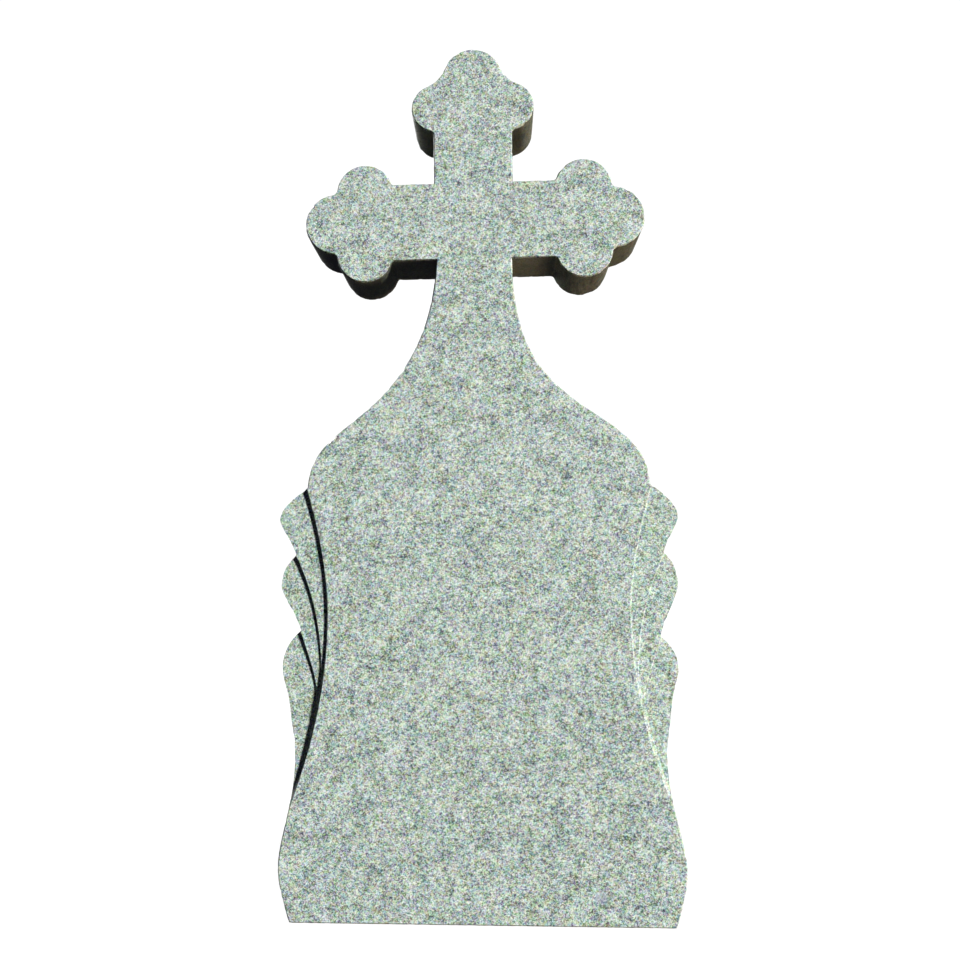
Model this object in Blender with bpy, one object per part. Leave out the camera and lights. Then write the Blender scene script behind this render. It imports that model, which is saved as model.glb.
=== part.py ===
"""Granite headstone: one upright slab, cut to a tablet with feathered sides under a budded cross.

The slab stands on its underside, with its front face towards -Y and its middle line on x = 0.
Each half of the outline is worked out from the base upwards, and then the other half is joined to it.
The mason's two sides differ a little, and those differences are named in the two Side values.
"""

import math
from typing import NamedTuple

import bmesh
import bpy

THICKNESS = 0.100
ARRIS = 0.002  # width of the small flat taken off the rims of both faces

BELLY_HALF = 0.2805  # half the width at the belly, which every inset is measured in from
BELLY_RISE = 0.073
BASE_INSET = 0.0160  # to the corner of the underside
WAIST_INSET = 0.0225
WAIST_RISE = 0.150
KNEE_INSET = 0.0143  # to where the lowest feather starts to swell out of the waist
KNEE_DROP = 0.053  # from the lowest feather's nose down to the knee

SHOULDER_HALF = 0.159  # where the convex shoulder passes into the concave neck
SHOULDER_RISE = 0.1075
NECK_HALF = 0.0548
NECK_RISE = 0.2199

BAR_HALF = 0.0572  # half the width of the cross's stem and of its arms
ARM_REACH = 0.245  # from the middle line to the tip of an arm
HEAD_REACH = 0.2582  # from the middle of the arms to the top of the cross

STEP_DEPTH = 0.004  # how far each feather lies under the surface that overlaps it
STEP_RUN = 0.0028  # how far a step's sloping side reaches outwards
STEP_LEDGE = 0.0004  # least width left between two steps that run together
PANEL_FOOT_DROP = 0.070  # from the waist down to where the raised panel's edge runs out
PANEL_FOOT_SLOPE = -0.38  # outward slope of the edge there
PANEL_FLARE_INSET = 0.0564
PANEL_FLARE_RISE = 0.067  # from the waist up to where the panel's edge has that inset
PANEL_FLARE_SLOPE = -0.20
JOIN_SHARE = 0.5  # how much of itself an outer step keeps where it runs into the step inside it
FOOT_SHARE = 0.3  # how much of themselves the steps keep at the panel's foot
FOOT_FADE = 1 / 3  # power by which they grow from the foot up to the flare
CARVING_CLEARANCE = 0.010  # how far the carving's cutters stand out of the stone
OUTLINE_CLEARANCE = 0.030
LOW_NOTCH_OFFSET = 0.0048  # the left lowest notch sits this much too high, and the right one as much too low
NOTCH_OFFSET = 0.0012  # the right notches sit this much too far out, and the left ones as much too far in

STRETCH_LENGTH = 0.0075  # length of a straight stretch of the drawn curves
ARC_TURN = math.radians(11.0)  # turn from one stretch of a bud's arc to the next
CARVING_ROW = 0.009  # height of a row of the carving's cutters


class Feather(NamedTuple):
    """One scallop of the side, from the notch or waist under it to the notch over it."""

    nose_inset: float
    nose_rise: float
    notch_depth: float  # from the nose in to the notch over it
    notch_rise: float
    join_depth: float  # from the notch in to where its step runs into the step inside it
    join_drop: float

    def nose_half(self):
        return BELLY_HALF - self.nose_inset

    def notch_half(self):
        return self.nose_half() - self.notch_depth

    def join_half(self):
        return self.notch_half() - self.join_depth


class Bud(NamedTuple):
    """The three lobes that end a bar of the cross, with the bar's own half width across."""

    side_back: float  # from the tip back to the middle of a side lobe
    side_across: float
    side_radius: float
    end_radius: float
    root_radius: float  # of the hollow between the bar's edge and a side lobe
    notch_radius: float  # of the hollow between a side lobe and the end lobe


class Side(NamedTuple):
    """What differs between the two hand-cut sides."""

    name: str
    sign: int
    shoulder_lean: float  # outline's slope, across over up, where the shoulder passes into the neck
    flare_start: float
    neck_lean: float
    flare_end: float


class Bend(NamedTuple):
    """How a curve leaves its lower end and meets its upper end.

    A lean is the slope there, across over up. A hold is how far the curve keeps to it, as a share of its rise.
    """

    start_lean: float
    start_hold: float
    end_lean: float
    end_hold: float


LOW_FEATHER = Feather(0.0037, 0.1255, 0.0253, 0.0455, 0.0248, 0.095)
MIDDLE_FEATHER = Feather(0.0017, 0.0680, 0.0205, 0.0435, 0.0380, 0.171)
TOP_FEATHER = Feather(-0.0002, 0.0505, 0.0387, 0.0450, 0.0311, 0.181)
FEATHERS = (LOW_FEATHER, MIDDLE_FEATHER, TOP_FEATHER)
ROOT_SLOPES = (0.32, 0.50, 0.28)  # outward slope of each feather's step at the notch over it
ARM_BUD = Bud(0.0867, 0.0464, 0.041, 0.045, 0.005, 0.008)
HEAD_BUD = Bud(0.0879, 0.0532, 0.0362, 0.043, 0.006, 0.045)
LEFT = Side("left", -1, 1.22, 0.26, 0.04, 0.40)
RIGHT = Side("right", 1, 1.42, 0.215, 0.0, 0.57)
BASE_BEND = Bend(0.286, 0.384, 0.0, 0.30)
BELLY_BEND = Bend(0.0, 0.267, 0.0, 0.44)
WAIST_BEND = Bend(0.0, 0.386, 0.068, 0.303)
KNEE_BEND = Bend(0.082, 0.415, 0.0, 0.415)
ROOT_BEND = Bend(0.167, 0.25, 0.0, 0.20)  # from a notch up to the next nose
TIP_BEND = Bend(0.0, 0.374, -1.47, 0.209)  # from a nose up to the notch over it
SHOULDER_START = (-0.065, 0.50)
SHOULDER_END_HOLD = 0.33


def clear_scene():
    for thing in list(bpy.data.objects):
        bpy.data.objects.remove(thing, do_unlink=True)


def granite():
    """Pale grey-green granite with a honed face."""
    material = bpy.data.materials.new("pale_honed_granite")
    material.use_nodes = True
    shader = material.node_tree.nodes["Principled BSDF"]
    shader.inputs["Base Color"].default_value = (0.46, 0.54, 0.50, 1.0)
    shader.inputs["Roughness"].default_value = 0.55
    shader.inputs["Metallic"].default_value = 0.0
    return material


def curve(start, end, bend):
    """Points of a cubic curve after its start."""
    rise = end[1] - start[1]
    first, last = bend.start_hold * rise, bend.end_hold * rise
    handles = (
        start,
        (start[0] + bend.start_lean * first, start[1] + first),
        (end[0] - bend.end_lean * last, end[1] - last),
        end,
    )
    steps = max(4, math.ceil(math.dist(start, end) / STRETCH_LENGTH))
    points = []
    for i in range(1, steps + 1):
        t = i / steps
        weights = ((1 - t) ** 3, 3 * (1 - t) ** 2 * t, 3 * (1 - t) * t**2, t**3)
        points.append(tuple(sum(w * h[k] for w, h in zip(weights, handles)) for k in (0, 1)))
    return points


def bearing(centre, point):
    return math.atan2(point[1] - centre[1], point[0] - centre[0])


def arc(centre, radius, start, turn):
    """Points of an arc after its start. A positive turn is anticlockwise."""
    steps = max(2, math.ceil(abs(turn) / ARC_TURN))
    angles = (start + turn * i / steps for i in range(1, steps + 1))
    return [(centre[0] + radius * math.cos(a), centre[1] + radius * math.sin(a)) for a in angles]


def half_bud(tip, bud):
    """Half of a bar's end as (along, across), from the bar's edge round the side lobe to the tip."""
    side = (tip - bud.side_back, bud.side_across)
    end = (tip - bud.end_radius, 0.0)
    root_reach = bud.side_radius + bud.root_radius
    rise = BAR_HALF + bud.root_radius - bud.side_across
    root = (side[0] - math.sqrt(root_reach**2 - rise**2), BAR_HALF + bud.root_radius)
    side_reach, end_reach = bud.side_radius + bud.notch_radius, bud.end_radius + bud.notch_radius
    apart = math.dist(side, end)
    along = (side_reach**2 - end_reach**2 + apart**2) / (2 * apart)
    aside = math.sqrt(side_reach**2 - along**2)
    ux, uy = (end[0] - side[0]) / apart, (end[1] - side[1]) / apart
    notch = (side[0] + along * ux - aside * uy, side[1] + along * uy + aside * ux)
    full = 2 * math.pi
    root_turn = (bearing(root, side) + math.pi / 2) % full
    side_turn = -((bearing(side, root) - bearing(side, notch)) % full)
    notch_turn = (bearing(notch, end) - bearing(notch, side)) % full
    points = [(root[0], BAR_HALF)]
    points += arc(root, bud.root_radius, -math.pi / 2, root_turn)
    points += arc(side, bud.side_radius, bearing(side, root), side_turn)
    points += arc(notch, bud.notch_radius, bearing(notch, side), notch_turn)
    points += arc(end, bud.end_radius, bearing(end, notch), -bearing(end, notch))
    return points


class HalfTablet(NamedTuple):
    """One side of the tablet: its points from the base to the neck, and the places that the carving needs."""

    points: list
    waist: tuple
    notches: list


def half_tablet(side):
    belly = (BELLY_HALF, BELLY_RISE)
    waist = (BELLY_HALF - WAIST_INSET, BELLY_RISE + WAIST_RISE)
    points = [(BELLY_HALF - BASE_INSET, 0.0)]
    points += curve(points[0], belly, BASE_BEND)
    points += curve(belly, waist, BELLY_BEND)
    notches = []
    height = waist[1]
    for feather in FEATHERS:
        nose = (feather.nose_half(), height + feather.nose_rise)
        height = nose[1] + feather.notch_rise
        notch = (feather.notch_half() + side.sign * NOTCH_OFFSET, height)
        if feather is LOW_FEATHER:
            knee = (BELLY_HALF - KNEE_INSET, nose[1] - KNEE_DROP)
            points += curve(waist, knee, WAIST_BEND)
            points += curve(knee, nose, KNEE_BEND)
            notch = (notch[0], height - side.sign * LOW_NOTCH_OFFSET)
        else:
            points += curve(notches[-1], nose, ROOT_BEND)
        points += curve(nose, notch, TIP_BEND)
        notches.append(notch)
    shoulder = (SHOULDER_HALF, height + SHOULDER_RISE)
    neck = (NECK_HALF, shoulder[1] + NECK_RISE)
    lean = -side.shoulder_lean
    points += curve(notches[-1], shoulder, Bend(*SHOULDER_START, lean, SHOULDER_END_HOLD))
    points += curve(shoulder, neck, Bend(lean, side.flare_start, -side.neck_lean, side.flare_end))
    return HalfTablet(points, waist, notches)


def half_outline(side):
    """Half widths and heights from the base's corner up to the top of the cross."""
    points = half_tablet(side).points
    arm_middle = points[-1][1] + BAR_HALF
    arm = half_bud(ARM_REACH, ARM_BUD)
    head = half_bud(HEAD_REACH, HEAD_BUD)
    points += [(along, arm_middle - across) for along, across in arm]
    points += [(along, arm_middle + across) for along, across in reversed(arm[:-1])]
    points += [(BAR_HALF, arm_middle + BAR_HALF)]
    points += [(across, arm_middle + along) for along, across in head]
    return points


def smooth_line(height, knots):
    """Half width at a height on a smooth line through (height, half width, slope) knots, straight past its ends."""
    if height <= knots[0][0]:
        return knots[0][1] + knots[0][2] * (height - knots[0][0])
    for (low, low_half, low_slope), (high, high_half, high_slope) in zip(knots, knots[1:]):
        if height <= high:
            span = high - low
            t = (height - low) / span
            return (
                (2 * t**3 - 3 * t**2 + 1) * low_half
                + (t**3 - 2 * t**2 + t) * span * low_slope
                + (3 * t**2 - 2 * t**3) * high_half
                + (t**3 - t**2) * span * high_slope
            )
    return knots[-1][1] + knots[-1][2] * (height - knots[-1][0])


def half_width_at(height, points):
    """The outline's half width at a height between the base and the neck."""
    for (low_half, low), (high_half, high) in zip(points, points[1:]):
        if low <= height <= high:
            return low_half + (high_half - low_half) * (height - low) / (high - low)
    return points[-1][0]


def step_lines(tablet):
    """The upper edges of the three steps, from the panel's outwards, each as knots and the height where it starts."""
    lines = []
    for feather, notch, slope in reversed(list(zip(FEATHERS, tablet.notches, ROOT_SLOPES))):
        top = (notch[1], notch[0] + STEP_LEDGE, slope)
        join = (notch[1] - feather.join_drop, feather.join_half(), 0.0)
        lines.append(([join, top], notch[1]))
    foot_height = tablet.waist[1] - PANEL_FOOT_DROP
    foot = (foot_height, half_width_at(foot_height, tablet.points) - STEP_RUN / 2, PANEL_FOOT_SLOPE)
    flare = (tablet.waist[1] + PANEL_FLARE_RISE, BELLY_HALF - PANEL_FLARE_INSET, PANEL_FLARE_SLOPE)
    lines[0] = ([foot, flare] + lines[0][0], lines[0][1])
    return lines


def step_share(height, line, foot_height, flare_height):
    """How much of its whole depth and run a step has at a height."""
    share = 1.0
    if height < flare_height:
        rise = max(0.0, (height - foot_height) / (flare_height - foot_height))
        share = FOOT_SHARE + (1.0 - FOOT_SHARE) * rise**FOOT_FADE
    knots, start = line
    if len(knots) == 2:
        join_height = knots[0][0]
        rise = min(1.0, max(0.0, (height - join_height) / (start - join_height)))
        share *= JOIN_SHARE + (1.0 - JOIN_SHARE) * rise
    return share


def carving_section(height, lines, foot_height, outer):
    """One level section of the carving's cutter as (half width, depth), from the panel's edge outwards."""
    flare_height = lines[0][0][1][0]
    section, depth, toe = [], 0.0, 0.0
    for n, line in enumerate(lines):
        knots, start = line
        crest = smooth_line(height, knots)
        if n and height > start:
            crest = outer
        crest = max(crest, toe + STEP_LEDGE)
        share = step_share(height, line, foot_height, flare_height)
        toe = crest + STEP_RUN * share
        if n == 0:
            steepness = STEP_RUN / STEP_DEPTH
            section.append((crest - steepness * CARVING_CLEARANCE, -CARVING_CLEARANCE))
        else:
            section.append((crest, depth))
        depth += STEP_DEPTH * share
        section.append((toe, depth))
    reach = outer + len(lines) * (STEP_RUN + STEP_LEDGE) + OUTLINE_CLEARANCE
    return section + [(reach, depth), (reach, -CARVING_CLEARANCE)]


def carving_cutter(side):
    """The stone that the mason takes away over the three feathers of one side."""
    tablet = half_tablet(side)
    lines = step_lines(tablet)
    foot_height = lines[0][0][0][0]
    low = foot_height - OUTLINE_CLEARANCE
    high = tablet.notches[-1][1] + OUTLINE_CLEARANCE
    rows = math.ceil((high - low) / CARVING_ROW)
    heights = [low + (high - low) * i / rows for i in range(rows + 1)]
    for _, start in lines[1:]:
        heights = [h for h in heights if abs(h - start) > CARVING_ROW / 3] + [start, start + ARRIS / 2]
    outer = max(half for half, _ in tablet.points) + OUTLINE_CLEARANCE
    front = -THICKNESS / 2
    bm = bmesh.new()
    loops = []
    for height in sorted(heights):
        section = carving_section(height, lines, foot_height, outer)
        loops.append([bm.verts.new((side.sign * half, front + depth, height)) for half, depth in section])
    count = len(loops[0])
    for below, above in zip(loops, loops[1:]):
        for i in range(count):
            j = (i + 1) % count
            bm.faces.new((below[i], below[j], above[j], above[i]))
    bm.faces.new(loops[0])
    bm.faces.new(loops[-1])
    bmesh.ops.triangulate(bm, faces=bm.faces[:])
    bmesh.ops.recalc_face_normals(bm, faces=bm.faces[:])
    cutter = add_object(f"feather_cutter_{side.name}", bm, None)
    cutter.display_type = "WIRE"
    cutter.hide_render = True
    return cutter


def add_object(name, bm, material):
    mesh = bpy.data.meshes.new(name)
    bm.to_mesh(mesh)
    bm.free()
    thing = bpy.data.objects.new(name, mesh)
    bpy.context.scene.collection.objects.link(thing)
    if material:
        mesh.materials.append(material)
    return thing


def slab():
    """The sawn slab with the arrises taken off both faces, before it is carved."""
    right = half_outline(RIGHT)
    left = half_outline(LEFT)
    outline = right + [(-half, height) for half, height in reversed(left[:-1])]
    bm = bmesh.new()
    front = bm.faces.new([bm.verts.new((x, -THICKNESS / 2, z)) for x, z in outline])
    back = bmesh.ops.extrude_face_region(bm, geom=[front])["geom"]
    bmesh.ops.translate(bm, vec=(0.0, THICKNESS, 0.0), verts=[v for v in back if isinstance(v, bmesh.types.BMVert)])
    rims = [e for e in bm.edges if abs(e.verts[0].co.y - e.verts[1].co.y) < ARRIS]
    bmesh.ops.bevel(bm, geom=rims, offset=ARRIS, segments=1, affect="EDGES", clamp_overlap=False)
    bmesh.ops.recalc_face_normals(bm, faces=bm.faces[:])
    return add_object("headstone", bm, granite())


def carve(stone, cutter):
    cut = stone.modifiers.new(cutter.name, "BOOLEAN")
    cut.operation = "DIFFERENCE"
    cut.solver = "EXACT"
    cut.object = cutter


def split_faces(stone):
    """Splits the long many-sided faces into even triangles, so that none is a sliver."""
    split = stone.modifiers.new("even_triangles", "TRIANGULATE")
    split.quad_method = "BEAUTY"
    split.ngon_method = "BEAUTY"


def main():
    clear_scene()
    stone = slab()
    for side in (LEFT, RIGHT):
        carve(stone, carving_cutter(side))
    split_faces(stone)
    stone.data.shade_smooth()
    stone.data.set_sharp_from_angle(angle=math.radians(25.0))


main()
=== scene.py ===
"""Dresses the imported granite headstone: the carved stone with its finishes, the studio and the camera.

The stone is one piece. Its face and feathers are honed, the steps between them are tooled, its sides are
polished and its back is sawn. Lengths are metres unless a name says millimetres, and colours are sRGB hex
values.
"""

from __future__ import annotations

import logging
import math
from dataclasses import dataclass
from enum import Enum

import bmesh
import bpy
from mathutils import Matrix, Vector

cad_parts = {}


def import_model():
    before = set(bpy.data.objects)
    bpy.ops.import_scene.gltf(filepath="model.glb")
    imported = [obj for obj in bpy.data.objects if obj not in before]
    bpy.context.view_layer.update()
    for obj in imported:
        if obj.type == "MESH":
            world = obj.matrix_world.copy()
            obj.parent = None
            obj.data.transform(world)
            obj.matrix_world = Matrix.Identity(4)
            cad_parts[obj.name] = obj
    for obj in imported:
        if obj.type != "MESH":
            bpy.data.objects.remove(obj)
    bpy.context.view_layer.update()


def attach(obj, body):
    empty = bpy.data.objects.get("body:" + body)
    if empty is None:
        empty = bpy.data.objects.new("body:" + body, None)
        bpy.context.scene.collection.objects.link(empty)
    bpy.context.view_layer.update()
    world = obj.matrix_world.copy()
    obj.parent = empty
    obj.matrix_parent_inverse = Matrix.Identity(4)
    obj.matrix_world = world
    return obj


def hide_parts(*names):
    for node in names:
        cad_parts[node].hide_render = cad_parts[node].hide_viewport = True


LOG = logging.getLogger("headstone")
NODE = "headstone"
MM = 0.001


def linear(hex_colour: str) -> tuple[float, float, float, float]:
    """Turns an sRGB hex colour into linear RGBA.

    Args:
        hex_colour: Six hex digits, with or without a leading #.

    Returns:
        Linear red, green and blue, and an alpha of 1.
    """
    digits = hex_colour.lstrip("#")
    channels = [int(digits[i : i + 2], 16) / 255 for i in (0, 2, 4)]
    values = [c / 12.92 if c <= 0.04045 else ((c + 0.055) / 1.055) ** 2.4 for c in channels]
    return (values[0], values[1], values[2], 1.0)


def add_node(
    tree: bpy.types.NodeTree,
    kind: str,
    settings: dict | None = None,
    inputs: dict | None = None,
) -> bpy.types.Node:
    """Adds a node with its settings and links.

    Args:
        tree: The node tree that the node goes into.
        kind: Blender's own name of the node type.
        settings: Attributes of the node to set before its inputs.
        inputs: Input name or number to a value, or to an output socket that is linked to it.

    Returns:
        The new node.
    """
    node = tree.nodes.new(kind)
    for key, value in (settings or {}).items():
        setattr(node, key, value)
    for key, value in (inputs or {}).items():
        if isinstance(value, bpy.types.NodeSocket):
            tree.links.new(value, node.inputs[key])
        else:
            node.inputs[key].default_value = value
    return node


def set_stops(
    node: bpy.types.Node | bpy.types.Texture, stops: tuple[tuple[float, str], ...], interpolation: str
) -> None:
    """Gives a colour ramp its stops.

    Args:
        node: The node or texture that the ramp belongs to.
        stops: Position and hex colour of each stop, in order.
        interpolation: Blender's name of the way between two stops.
    """
    ramp = node.color_ramp
    ramp.interpolation = interpolation
    while len(ramp.elements) < len(stops):
        ramp.elements.new(1.0)
    for element, (position, hex_colour) in zip(ramp.elements, stops):
        element.position = position
        element.color = linear(hex_colour)


class Surface(Enum):
    """How one side of the stone was finished."""

    HONED = "pale_honed_granite"
    POLISHED = "polished_granite_edge_painted_shade"
    SAWN = "sawn_granite_back"
    CUT = "tooled_granite_step"


@dataclass(frozen=True)
class Fleck:
    """One larger crystal or mark that shows on the front face."""

    across: float  # to the right of the stone's middle line
    up: float  # above its underside
    radius: float
    colour: str
    strength: float  # how much of the fleck's colour covers the grain, up to 1


@dataclass(frozen=True)
class Granite:
    """Fine-grained grey-green granite, the same crystals in every finish."""

    surface: Surface
    grain_mm: float = 1.3  # the real grain is finer, and is drawn as coarse as it needs to show
    cluster_mm: float = 3.2  # crystals of one kind that grew side by side
    cloud_mm: float = 7.5  # small paler and darker clouds
    patch_mm: float = 22.0  # larger ones, which keep the face from looking even
    minerals: tuple[tuple[float, str], ...] = (
        (0.00, "#1E2526"),  # biotite
        (0.20, "#55635F"),  # hornblende
        (0.40, "#899B8F"),  # smoky quartz
        (0.60, "#B7C9BC"),  # quartz
        (0.80, "#D6E5D9"),  # feldspar
        (1.00, "#F2FAF2"),  # white feldspar
    )
    grain_share: float = 1.15
    cluster_share: float = 0.42
    cloud_share: float = 0.9
    patch_share: float = 0.65
    darkest: float = -0.97  # the summed pattern's value at the darkest mineral
    palest: float = 0.73  # and at the palest
    leans: tuple[tuple[float, str, str], ...] = (
        (3.4, "#8A8AFE", "#E0E019"),  # millimetres across, then from bluish to straw
        (3.1, "#7CE7BC", "#E77CBC"),  # and from greenish to rosy
    )
    lean_share: float = 0.5
    ior: float = 1.54  # of quartz and feldspar
    roughness: float = 0.6
    mica_rougher: float = 0.08  # the darkest crystals take less polish
    quartz_smoother: float = 0.06  # and the palest take more
    pit_depth: float = 0.00012
    # On the polished sides this tint is partly the polish and partly painted shade, as dark and brown as the
    # shaded undersides.
    finish_and_painted_shade_tint: str = "#FFFFFF"  # what the finish does to the crystals' colour

    def material(self) -> bpy.types.Material:
        """Makes the finish as a Blender material.

        Returns:
            The material, which reads Object coordinates only.
        """
        material = bpy.data.materials.new(self.surface.value)
        material.use_nodes = True
        tree = material.node_tree
        shader = tree.nodes["Principled BSDF"]
        place = add_node(tree, "ShaderNodeTexCoord").outputs["Object"]
        grain = self.crystals(tree, place)
        colour = self.tinted(tree, place, grain)
        colour = self.marked(tree, place, colour)
        finish = add_node(
            tree,
            "ShaderNodeMix",
            {"data_type": "RGBA", "blend_type": "MULTIPLY"},
            {0: 1.0, 6: colour, 7: linear(self.finish_and_painted_shade_tint)},
        )
        tree.links.new(finish.outputs[2], shader.inputs["Base Color"])
        self.shine(tree, place, grain, shader)
        return material

    def crystals(self, tree: bpy.types.NodeTree, place: bpy.types.NodeSocket) -> bpy.types.NodeSocket:
        """Adds the salt-and-pepper grain.

        Args:
            tree: The material's node tree.
            place: The coordinates that the pattern reads.

        Returns:
            A value from 0, the darkest crystal, to 1, the palest.
        """
        value = None
        for size_mm, share in ((self.grain_mm, self.grain_share), (self.cluster_mm, self.cluster_share)):
            value = self.added(tree, self.cells(tree, place, size_mm).outputs[0], share, value)
        for size_mm, share in ((self.cloud_mm, self.cloud_share), (self.patch_mm, self.patch_share)):
            clouds = add_node(
                tree,
                "ShaderNodeTexNoise",
                None,
                {"Vector": place, "Scale": 1 / (size_mm * MM), "Detail": 1.0},
            )
            value = self.added(tree, clouds.outputs[0], share, value)
        spread = add_node(
            tree,
            "ShaderNodeMapRange",
            None,
            {"Value": value, "From Min": self.darkest, "From Max": self.palest},
        )
        return spread.outputs[0]

    def cells(
        self, tree: bpy.types.NodeTree, place: bpy.types.NodeSocket, size_mm: float
    ) -> bpy.types.Node:
        """Adds cells of one size, each with three values of its own.

        Args:
            tree: The material's node tree.
            place: The coordinates that the pattern reads.
            size_mm: How far it is from cell to cell, in millimetres.

        Returns:
            The node whose three outputs are the values.
        """
        cells = add_node(
            tree, "ShaderNodeTexVoronoi", {"feature": "F1"}, {"Vector": place, "Scale": 1 / (size_mm * MM)}
        )
        return add_node(tree, "ShaderNodeSeparateColor", None, {0: cells.outputs["Color"]})

    def added(
        self,
        tree: bpy.types.NodeTree,
        pattern: bpy.types.NodeSocket,
        share: float,
        value: bpy.types.NodeSocket | None,
    ) -> bpy.types.NodeSocket:
        """Adds a pattern's share, taken about its middle, to the value so far.

        Args:
            tree: The material's node tree.
            pattern: A value from 0 to 1.
            share: How much of the pattern is added.
            value: The value so far, or None at the start.

        Returns:
            The new value.
        """
        sum_node = add_node(
            tree,
            "ShaderNodeMath",
            {"operation": "MULTIPLY_ADD"},
            {0: pattern, 1: share, 2: -0.5 * share if value is None else value},
        )
        if value is None:
            return sum_node.outputs[0]
        centred = add_node(
            tree,
            "ShaderNodeMath",
            {"operation": "SUBTRACT"},
            {0: sum_node.outputs[0], 1: 0.5 * share},
        )
        return centred.outputs[0]

    def tinted(
        self, tree: bpy.types.NodeTree, place: bpy.types.NodeSocket, grain: bpy.types.NodeSocket
    ) -> bpy.types.NodeSocket:
        """Colours the crystals, which lean a little to one hue or another.

        Args:
            tree: The material's node tree.
            place: The coordinates that the pattern reads.
            grain: The crystals' value from dark to pale.

        Returns:
            The crystals' colour.
        """
        minerals = add_node(tree, "ShaderNodeValToRGB", None, {0: grain})
        set_stops(minerals, self.minerals, "LINEAR")
        colour = minerals.outputs[0]
        for size_mm, one_hue, other_hue in self.leans:
            cells = self.cells(tree, place, size_mm)
            hue = add_node(
                tree,
                "ShaderNodeMix",
                {"data_type": "RGBA"},
                {0: cells.outputs[1], 6: linear(one_hue), 7: linear(other_hue)},
            )
            leaned = add_node(
                tree,
                "ShaderNodeMix",
                {"data_type": "RGBA", "blend_type": "SOFT_LIGHT"},
                {0: self.lean_share, 6: colour, 7: hue.outputs[2]},
            )
            colour = leaned.outputs[2]
        return colour

    def marked(
        self, tree: bpy.types.NodeTree, place: bpy.types.NodeSocket, colour: bpy.types.NodeSocket
    ) -> bpy.types.NodeSocket:
        """Adds marks that only one face has.

        Args:
            tree: The material's node tree.
            place: The coordinates that the pattern reads.
            colour: The colour so far.

        Returns:
            The colour with the marks.
        """
        return colour

    def shine(
        self,
        tree: bpy.types.NodeTree,
        place: bpy.types.NodeSocket,
        grain: bpy.types.NodeSocket,
        shader: bpy.types.Node,
    ) -> None:
        """Sets the gloss and the small relief of the surface.

        Args:
            tree: The material's node tree.
            place: The coordinates that the pattern reads.
            grain: The crystals' value from dark to pale.
            shader: The material's shader.
        """
        shader.inputs["IOR"].default_value = self.ior
        rough = add_node(
            tree,
            "ShaderNodeMapRange",
            None,
            {
                "Value": grain,
                "To Min": self.roughness + self.mica_rougher,
                "To Max": self.roughness - self.quartz_smoother,
            },
        )
        tree.links.new(rough.outputs[0], shader.inputs["Roughness"])
        tree.links.new(self.relief(tree, place, grain), shader.inputs["Normal"])

    def relief(
        self, tree: bpy.types.NodeTree, place: bpy.types.NodeSocket, grain: bpy.types.NodeSocket
    ) -> bpy.types.NodeSocket:
        """Adds the small relief of the crystals.

        Args:
            tree: The material's node tree.
            place: The coordinates that the pattern reads.
            grain: The crystals' value from dark to pale.

        Returns:
            The normal for the shader.
        """
        crystals = add_node(
            tree, "ShaderNodeBump", None, {"Strength": 1.0, "Distance": self.pit_depth, "Height": grain}
        )
        return crystals.outputs[0]


@dataclass(frozen=True)
class HonedFace(Granite):
    """The front face and the feathers, ground flat and left without a polish."""

    face: float = -0.05
    fleck_core: float = 0.4  # the share of a fleck's radius within which it is at full strength
    flecks: tuple[Fleck, ...] = (
        Fleck(-0.0230, 0.1434, 0.0032, "#FFFFFF", 0.90),
        Fleck(-0.0328, 0.1139, 0.0034, "#4A4F45", 0.75),
        Fleck(-0.1230, 0.3871, 0.0040, "#4E5648", 0.65),
        Fleck(0.1997, 0.4234, 0.0032, "#3A2E24", 0.70),
        Fleck(0.2179, 0.2683, 0.0030, "#3C4A48", 0.70),
        Fleck(0.2263, 0.1137, 0.0030, "#444B44", 0.65),
        Fleck(0.2609, 0.0537, 0.0030, "#4A4F45", 0.60),
        Fleck(0.1656, 0.0381, 0.0110, "#7C8CA6", 0.40),
    )

    def marked(
        self, tree: bpy.types.NodeTree, place: bpy.types.NodeSocket, colour: bpy.types.NodeSocket
    ) -> bpy.types.NodeSocket:
        """Adds the single crystals and marks of the front face.

        Args:
            tree: The material's node tree.
            place: The coordinates that the pattern reads.
            colour: The colour so far.

        Returns:
            The colour with the marks.
        """
        for fleck in self.flecks:
            here = (fleck.across, self.face, fleck.up)
            away = add_node(tree, "ShaderNodeVectorMath", {"operation": "DISTANCE"}, {0: place, 1: here})
            mask = add_node(
                tree,
                "ShaderNodeMapRange",
                {"interpolation_type": "SMOOTHSTEP"},
                {
                    "Value": away.outputs["Value"],
                    "From Min": self.fleck_core * fleck.radius,
                    "From Max": fleck.radius,
                    "To Min": fleck.strength,
                    "To Max": 0.0,
                },
            )
            mark = add_node(
                tree,
                "ShaderNodeMix",
                {"data_type": "RGBA"},
                {0: mask.outputs[0], 6: colour, 7: linear(fleck.colour)},
            )
            colour = mark.outputs[2]
        return colour


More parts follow.
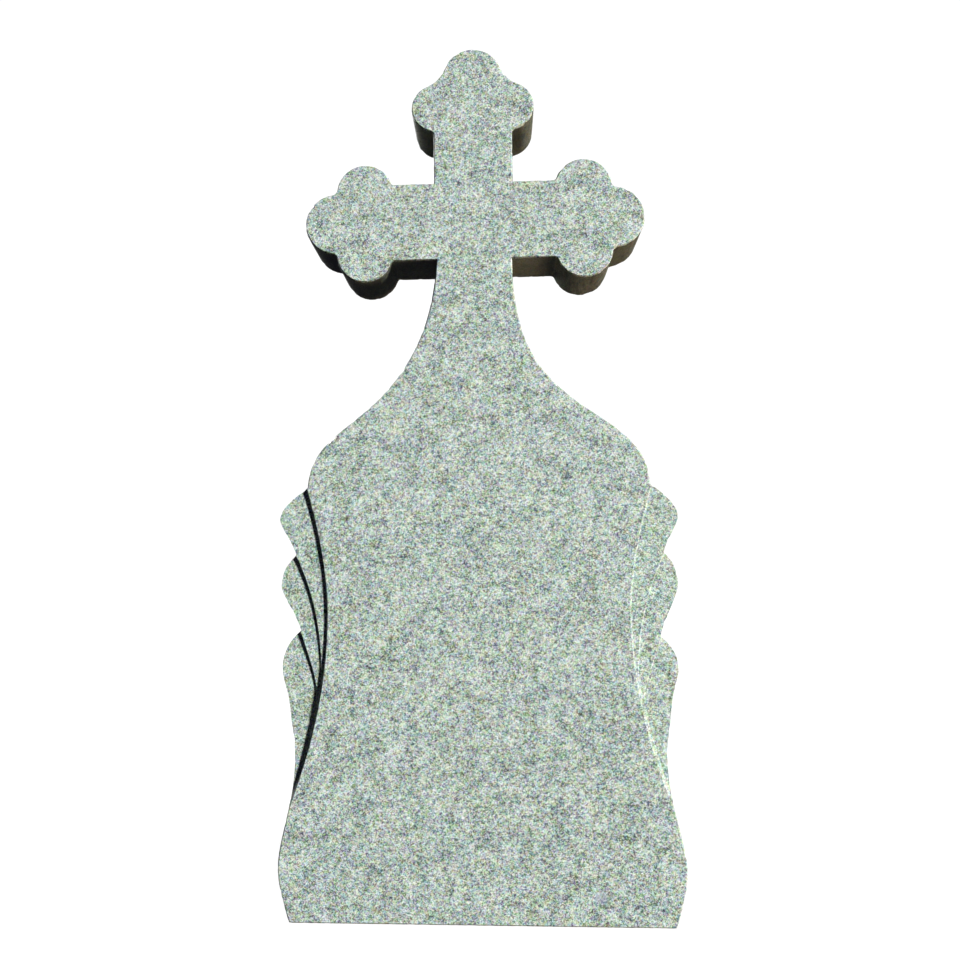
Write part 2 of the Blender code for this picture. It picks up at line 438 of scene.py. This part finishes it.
@dataclass(frozen=True)
class SawnBack(Granite):
    """The back, left as the frame saw cut it, with the saw's level lines."""

    line_mm: float = 14.0  # from line to line
    line_depth: float = 0.00025
    line_wander: float = 2.5
    wander_detail: float = 3.0
    wander_scale: float = 0.6
    band_shade: float = 0.86  # how pale the dark bands stay beside the others

    def marked(
        self, tree: bpy.types.NodeTree, place: bpy.types.NodeSocket, colour: bpy.types.NodeSocket
    ) -> bpy.types.NodeSocket:
        """Adds the faint pale and dark bands that the saw left.

        Args:
            tree: The material's node tree.
            place: The coordinates that the pattern reads.
            colour: The colour so far.

        Returns:
            The colour with the bands.
        """
        lines = self.saw_lines(tree, place)
        band = add_node(tree, "ShaderNodeMapRange", None, {"Value": lines, "To Min": self.band_shade})
        banded = add_node(
            tree,
            "ShaderNodeMix",
            {"data_type": "RGBA", "blend_type": "MULTIPLY"},
            {0: 1.0, 6: colour, 7: band.outputs[0]},
        )
        return banded.outputs[2]

    def saw_lines(self, tree: bpy.types.NodeTree, place: bpy.types.NodeSocket) -> bpy.types.NodeSocket:
        """Adds the level, slightly wandering lines of the saw.

        Args:
            tree: The material's node tree.
            place: The coordinates that the pattern reads.

        Returns:
            A value from 0 to 1.
        """
        period = math.pi / 10  # metres from line to line at scale 1
        lines = add_node(
            tree,
            "ShaderNodeTexWave",
            {"wave_type": "BANDS", "bands_direction": "Z", "wave_profile": "SIN"},
            {
                "Vector": place,
                "Scale": period / (self.line_mm * MM),
                "Distortion": self.line_wander,
                "Detail": self.wander_detail,
                "Detail Scale": self.wander_scale,
            },
        )
        return lines.outputs["Fac"]

    def relief(
        self, tree: bpy.types.NodeTree, place: bpy.types.NodeSocket, grain: bpy.types.NodeSocket
    ) -> bpy.types.NodeSocket:
        """Adds the saw lines to the relief of the crystals.

        Args:
            tree: The material's node tree.
            place: The coordinates that the pattern reads.
            grain: The crystals' value from dark to pale.

        Returns:
            The normal for the shader.
        """
        crystals = super().relief(tree, place, grain)
        lines = add_node(
            tree,
            "ShaderNodeBump",
            None,
            {
                "Strength": 1.0,
                "Distance": self.line_depth,
                "Height": self.saw_lines(tree, place),
                "Normal": crystals,
            },
        )
        return lines.outputs[0]


@dataclass
class CarvedStone:
    """The headstone: one slab with worn rims, carved feathers and a finish for each kind of side."""

    half_depth: float = 0.05
    rim_round: float = 0.0008
    rim_segments: int = 2
    rim_stretch: float = 0.004  # the longest straight stretch of a worn rim
    worn_inset: float = 0.014  # how far the sides are worn in from the front and the back
    nick_depth: float = 0.0011
    nick_size: float = 0.009
    nick_from: float = 0.52  # the wear pattern's value where a nick starts
    nick_full: float = 0.80  # and where it has its whole depth
    same_point: float = 0.00002  # corners of the solid's loose triangles nearer than this are one
    same_place: float = 0.00005  # and so are corners of the rounded rims
    same_plane: float = 0.4  # degrees
    smooth_bend: float = 28.0  # degrees, the sharpest bend that is shaded as a curve
    rim_bend: float = 30.0  # degrees, the slightest bend that is a rim
    side_lean: float = 0.2  # how much of a side's normal points forwards or back, at most
    flat_lean: float = 0.6  # and of a front's, feather's or back's, at least
    back_lean: float = 0.6  # how much of a face's normal points back on the back and its arris
    front_lean: float = 0.8  # and forwards on the front and the feathers
    step_lean: float = 0.45  # and on the sloping side of a step or the front arris
    piece_name: str = "carved_stone"

    def build(self) -> bpy.types.Object:
        """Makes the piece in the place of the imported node.

        Returns:
            The finished stone.
        """
        stone = self.copy_of_solid()
        self.split_rims(stone)
        self.round_rims(stone)
        self.nick_rims(stone)
        self.finish_sides(stone)
        self.settle_shading(stone)
        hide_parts(NODE)
        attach(stone, "root")
        return stone

    def copy_of_solid(self) -> bpy.types.Object:
        """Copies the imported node's mesh and joins its loose triangles into flat faces.

        Returns:
            The copy, active and alone in the selection.
        """
        solid = bpy.data.objects[NODE]
        stone = bpy.data.objects.new(self.piece_name, solid.data.copy())
        bpy.context.scene.collection.objects.link(stone)
        stone.data.materials.clear()
        bpy.ops.object.select_all(action="DESELECT")
        stone.select_set(True)
        bpy.context.view_layer.objects.active = stone
        bpy.ops.object.mode_set(mode="EDIT")
        bpy.ops.mesh.select_all(action="SELECT")
        bpy.ops.mesh.remove_doubles(threshold=self.same_point)
        bpy.ops.mesh.customdata_custom_splitnormals_clear()
        bpy.ops.mesh.dissolve_limited(angle_limit=math.radians(self.same_plane))
        bpy.ops.object.mode_set(mode="OBJECT")
        return stone

    def select_rims(self, stone: bpy.types.Object, longer_than: float = 0.0) -> int:
        """Selects the convex edges where the sides meet the front, the feathers and the back.

        Args:
            stone: The piece, in edit mode.
            longer_than: Shorter edges are left out.

        Returns:
            How many edges are selected.
        """
        bpy.ops.mesh.select_mode(type="EDGE")
        bpy.ops.mesh.select_all(action="DESELECT")
        mesh = bmesh.from_edit_mesh(stone.data)
        slightest = math.radians(self.rim_bend)
        count = 0
        for edge in mesh.edges:
            if len(edge.link_faces) != 2 or not edge.is_convex or edge.calc_length() <= longer_than:
                continue
            side, flat = sorted(abs(face.normal.y) for face in edge.link_faces)
            if side < self.side_lean and flat > self.flat_lean and edge.calc_face_angle() > slightest:
                edge.select_set(True)
                count += 1
        bmesh.update_edit_mesh(stone.data)
        return count

    def split_rims(self, stone: bpy.types.Object) -> None:
        """Splits the rims into short stretches, and cuts the sides where their wear ends.

        Args:
            stone: The piece to work on.
        """
        bpy.ops.object.mode_set(mode="EDIT")
        while self.select_rims(stone, self.rim_stretch):
            bpy.ops.mesh.subdivide(number_cuts=1)
        for depth in (self.worn_inset - self.half_depth, self.half_depth - self.worn_inset):
            bpy.ops.mesh.select_all(action="SELECT")
            bpy.ops.mesh.bisect(plane_co=(0.0, depth, 0.0), plane_no=(0.0, 1.0, 0.0))
        bpy.ops.object.mode_set(mode="OBJECT")

    def round_rims(self, stone: bpy.types.Object) -> None:
        """Rounds the rims, keeps them as a vertex group and joins the corners where two roundings meet.

        Args:
            stone: The piece to work on.
        """
        bpy.ops.object.mode_set(mode="EDIT")
        self.select_rims(stone)
        bpy.ops.mesh.bevel(
            offset=self.rim_round, segments=self.rim_segments, affect="EDGES", clamp_overlap=False
        )
        stone.vertex_groups.new(name="rims")
        bpy.ops.object.vertex_group_assign()
        bpy.ops.mesh.select_all(action="SELECT")
        bpy.ops.mesh.remove_doubles(threshold=self.same_place)
        bpy.ops.mesh.dissolve_degenerate(threshold=self.same_place)
        bpy.ops.object.mode_set(mode="OBJECT")

    def nick_rims(self, stone: bpy.types.Object) -> None:
        """Wears the rims in here and there, as the arrises of a stone that has been handled.

        Args:
            stone: The piece to work on.
        """
        wear = bpy.data.textures.new("rim_wear", "CLOUDS")
        wear.noise_scale = self.nick_size
        wear.noise_depth = 1
        wear.use_color_ramp = True
        set_stops(wear, ((self.nick_from, "#000000"), (self.nick_full, "#FFFFFF")), "LINEAR")
        bpy.ops.object.modifier_add(type="DISPLACE")
        nicks = stone.modifiers[-1]
        nicks.texture = wear
        nicks.vertex_group = "rims"
        nicks.mid_level = 0.0
        nicks.strength = -self.nick_depth
        bpy.ops.object.modifier_apply(modifier=nicks.name)
        stone.vertex_groups.clear()

    def finish_sides(self, stone: bpy.types.Object) -> None:
        """Gives each face of the mesh the finish of its side.

        Args:
            stone: The piece to work on.
        """
        finishes = (
            # Honing leaves the crystals' own pale colours, with hardly any shine.
            HonedFace(Surface.HONED),
            # A polish wets the crystals, darker and warmer under a soft gloss; most of this dark, brown tone
            # is painted shade, standing in for the shade on the undersides.
            Granite(Surface.POLISHED, roughness=0.3, pit_depth=0.00003, finish_and_painted_shade_tint="#928A7F"),
            # The saw leaves the back matt, with faint level bands across the crystals.
            SawnBack(Surface.SAWN, roughness=0.75, pit_depth=0.0003),
            # The chisel bruises the crystals of the steps, which are a shade duller than the face.
            Granite(Surface.CUT, roughness=0.7, finish_and_painted_shade_tint="#DCDCDC"),
        )
        slots = {}
        for slot, finish in enumerate(finishes):
            stone.data.materials.append(finish.material())
            slots[finish.surface] = slot
        for face in stone.data.polygons:
            face.material_index = slots[self.surface_of(face)]

    def surface_of(self, face: bpy.types.MeshPolygon) -> Surface:
        """Tells the finish of a face from the way it looks.

        Args:
            face: A face of the piece.

        Returns:
            Its finish.
        """
        if face.normal.y > self.back_lean:
            return Surface.SAWN
        if face.normal.y < -self.front_lean:
            return Surface.HONED
        if face.normal.y < -self.step_lean:
            return Surface.CUT
        return Surface.POLISHED

    def settle_shading(self, stone: bpy.types.Object) -> None:
        """Shades the rounded rims smoothly and keeps the flat faces flat.

        Args:
            stone: The piece to work on.
        """
        bpy.ops.object.shade_smooth_by_angle(angle=math.radians(self.smooth_bend))
        bpy.ops.object.modifier_add(type="WEIGHTED_NORMAL")
        weighted = stone.modifiers[-1]
        weighted.mode = "FACE_AREA"
        weighted.weight = 100  # the largest faces alone set the shading
        weighted.keep_sharp = True
        bpy.ops.object.modifier_apply(modifier=weighted.name)


@dataclass(frozen=True)
class Lamp:
    """One soft light, as far away as a sun, by the direction that it comes from."""

    name: str
    azimuth: float  # degrees to the right of straight in front of the stone
    height: float  # degrees above the floor
    strength: float
    softness: float  # degrees across
    colour: str

    def hang(self) -> None:
        """Hangs the lamp."""
        azimuth, height = math.radians(self.azimuth), math.radians(self.height)
        level = math.cos(height)
        towards = Vector((math.sin(azimuth) * level, -math.cos(azimuth) * level, math.sin(height)))
        lamp = bpy.data.objects.new(self.name, bpy.data.lights.new(self.name, "SUN"))
        lamp.data.energy = self.strength
        lamp.data.angle = math.radians(self.softness)
        lamp.data.color = linear(self.colour)[:3]
        lamp.rotation_mode = "QUATERNION"
        lamp.rotation_quaternion = towards.to_track_quat("Z", "Y")
        bpy.context.scene.collection.objects.link(lamp)


@dataclass
class Studio:
    """A pale lit floor in a white surround, with the key light to the upper right of the camera.

    The floor and the surround show, but send no light back to the stone, so that its undersides stay dark.
    """

    floor_reach: float = 14.0
    surround_reach: float = 13.0
    floor_colour: str = "#707070"
    floor_glow: float = 0.88
    surround_colour: str = "#000000"  # it shows by its glow alone
    surround_glow: float = 1.05
    shade: str = "#8C88A6"
    shade_light: float = 0.06
    lamps: tuple[Lamp, ...] = (
        Lamp("key", 58.5, 25.0, 6.0, 7.0, "#FFFFFF"),
        Lamp("low_glow", 90.0, -30.0, 2.7, 30.0, "#FFE2C8"),
        Lamp("back_light", -135.0, 30.0, 4.8, 40.0, "#FFFFFF"),
    )

    def build(self) -> None:
        """Makes the floor, the surround and the lights."""
        self.lay_floor()
        self.raise_surround()
        self.fill_shade()
        for lamp in self.lamps:
            lamp.hang()

    def lay_floor(self) -> None:
        """Lays the floor that the stone stands on."""
        bpy.ops.object.select_all(action="DESELECT")
        bpy.ops.mesh.primitive_circle_add(vertices=96, radius=self.floor_reach, fill_type="NGON")
        self.dress(bpy.context.object, "studio_floor", self.floor_colour, self.floor_glow)

    def raise_surround(self) -> None:
        """Puts the white surround round the floor."""
        bpy.ops.object.select_all(action="DESELECT")
        bpy.ops.mesh.primitive_uv_sphere_add(segments=48, ring_count=24, radius=self.surround_reach)
        self.dress(bpy.context.object, "studio_surround", self.surround_colour, self.surround_glow)

    def dress(self, stage: bpy.types.Object, name: str, colour: str, glow: float) -> None:
        """Names a piece of the stage and gives it a matt, lit surface that lights nothing else.

        Args:
            stage: The floor or the surround.
            name: The name of the object and of its material.
            colour: Its matt colour.
            glow: How bright it is by itself, where 1 is white.
        """
        stage.name = name
        # Matt white paper has no highlight, so nothing shows on it but the stone's own pale shadow.
        material = bpy.data.materials.new(f"{name}_matt_white")
        material.use_nodes = True
        shader = material.node_tree.nodes["Principled BSDF"]
        shader.inputs["Base Color"].default_value = linear(colour)
        shader.inputs["Roughness"].default_value = 1.0
        shader.inputs["Specular IOR Level"].default_value = 0.0
        shader.inputs["Emission Color"].default_value = (1.0, 1.0, 1.0, 1.0)
        shader.inputs["Emission Strength"].default_value = glow
        stage.data.materials.append(material)
        stage.visible_diffuse = False
        stage.visible_glossy = False
        stage.visible_shadow = False

    def fill_shade(self) -> None:
        """Sets the little light that reaches the shade."""
        world = bpy.data.worlds.new("studio_shade")
        bpy.context.scene.world = world
        world.use_nodes = True
        back = world.node_tree.nodes["Background"]
        back.inputs["Color"].default_value = linear(self.shade)
        back.inputs["Strength"].default_value = self.shade_light


@dataclass
class PhotographCamera:
    """The camera where the photograph was taken from."""

    place: tuple[float, float, float] = (0.0307, -1.4765, 0.4855)
    lens_mm: float = 38.0
    film_mm: float = 36.0
    yaw: float = -3.572  # degrees, positive towards +X
    pitch: float = 4.975
    roll: float = 0.388
    axis_left: float = 45.0  # pixels from the picture's middle to the lens axis
    picture: float = 960.0  # pixels across
    nearest: float = 0.05  # what is nearer to the lens than this isn't drawn

    def build(self) -> bpy.types.Object:
        """Places the camera.

        Returns:
            The camera, set as the scene's own.
        """
        yaw, pitch, roll = (math.radians(v) for v in (self.yaw, self.pitch, self.roll))
        forward = Vector((math.sin(yaw) * math.cos(pitch), math.cos(yaw) * math.cos(pitch), math.sin(pitch)))
        level = Vector((math.cos(yaw), -math.sin(yaw), 0.0))
        down = forward.cross(level)
        right = level * math.cos(roll) + down * math.sin(roll)
        up = level * math.sin(roll) - down * math.cos(roll)
        turned = Matrix((right, up, -forward)).transposed()
        camera = bpy.data.objects.new("camera", bpy.data.cameras.new("camera"))
        camera.data.sensor_width = self.film_mm
        camera.data.lens = self.lens_mm
        camera.data.shift_x = self.axis_left / self.picture
        camera.data.clip_start = self.nearest
        camera.matrix_world = Matrix.Translation(self.place) @ turned.to_4x4()
        bpy.context.scene.collection.objects.link(camera)
        bpy.context.scene.camera = camera
        return camera


def main() -> None:
    """Builds the stone, the studio and the camera in order."""
    logging.basicConfig(level=logging.INFO, format="%(name)s: %(message)s")
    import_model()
    stone = CarvedStone().build()
    LOG.info("%s: %d faces", stone.name, len(stone.data.polygons))
    Studio().build()
    camera = PhotographCamera().build()
    LOG.info("%s: lens %.0f mm", camera.name, camera.data.lens)
    bpy.context.scene.view_settings.view_transform = "Standard"


if __name__ == "__main__":
    main()
